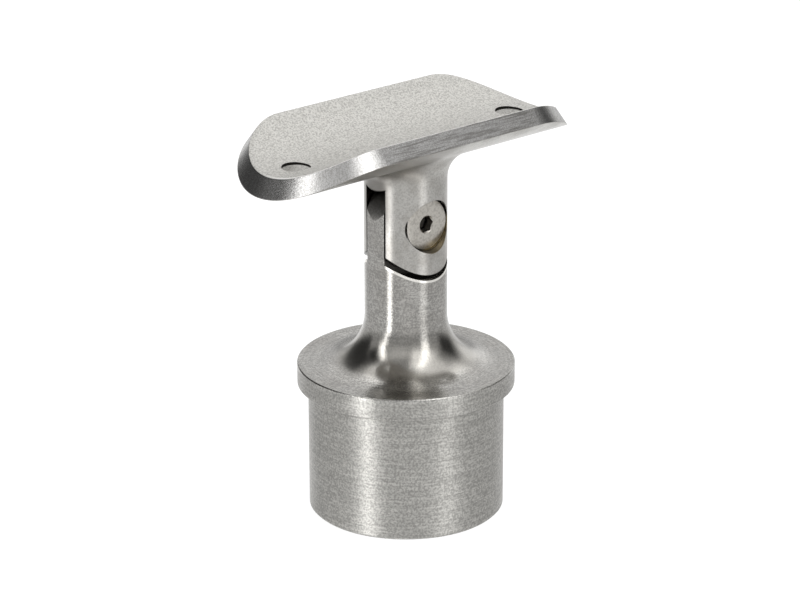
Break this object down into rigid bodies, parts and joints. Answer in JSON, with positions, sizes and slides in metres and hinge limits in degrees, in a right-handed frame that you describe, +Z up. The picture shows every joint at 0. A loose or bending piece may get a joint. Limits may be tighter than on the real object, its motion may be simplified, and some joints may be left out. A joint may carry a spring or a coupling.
{
  "type": "handrail bracket",
  "caption": "Adjustable handrail bracket: a plug with a flange closes a tube post, and a concave saddle tilts on a screwed knuckle joint to carry a round handrail.",
  "frame": {"origin": "centre of the flange's underside, where the axis of the post meets the end of its tube", "axes": "+Z up the post's axis, +X along the handrail with the saddle level, +Y along the pivot, from the screw's head to its tip"},
  "size_m": [0.072, 0.0424, 0.0806],
  "materials": {
    "cap_steel": "satin, turned and brushed",
    "saddle_steel": "brushed edges, fine blasted trough",
    "screw_steel": "plain machined"
  },
  "bodies": {
    "base": {"post_cap": "cap_steel"},
    "head": {"saddle": "saddle_steel", "pivot_screw": "screw_steel"}
  },
  "joints": [
    {"name": "saddle_tilt", "type": "hinge", "parent": "base", "child": "head", "pos_m": [0, 0, 0.0337], "axis": [0, 1, 0], "range_deg": [-72, 72]}
  ]
}
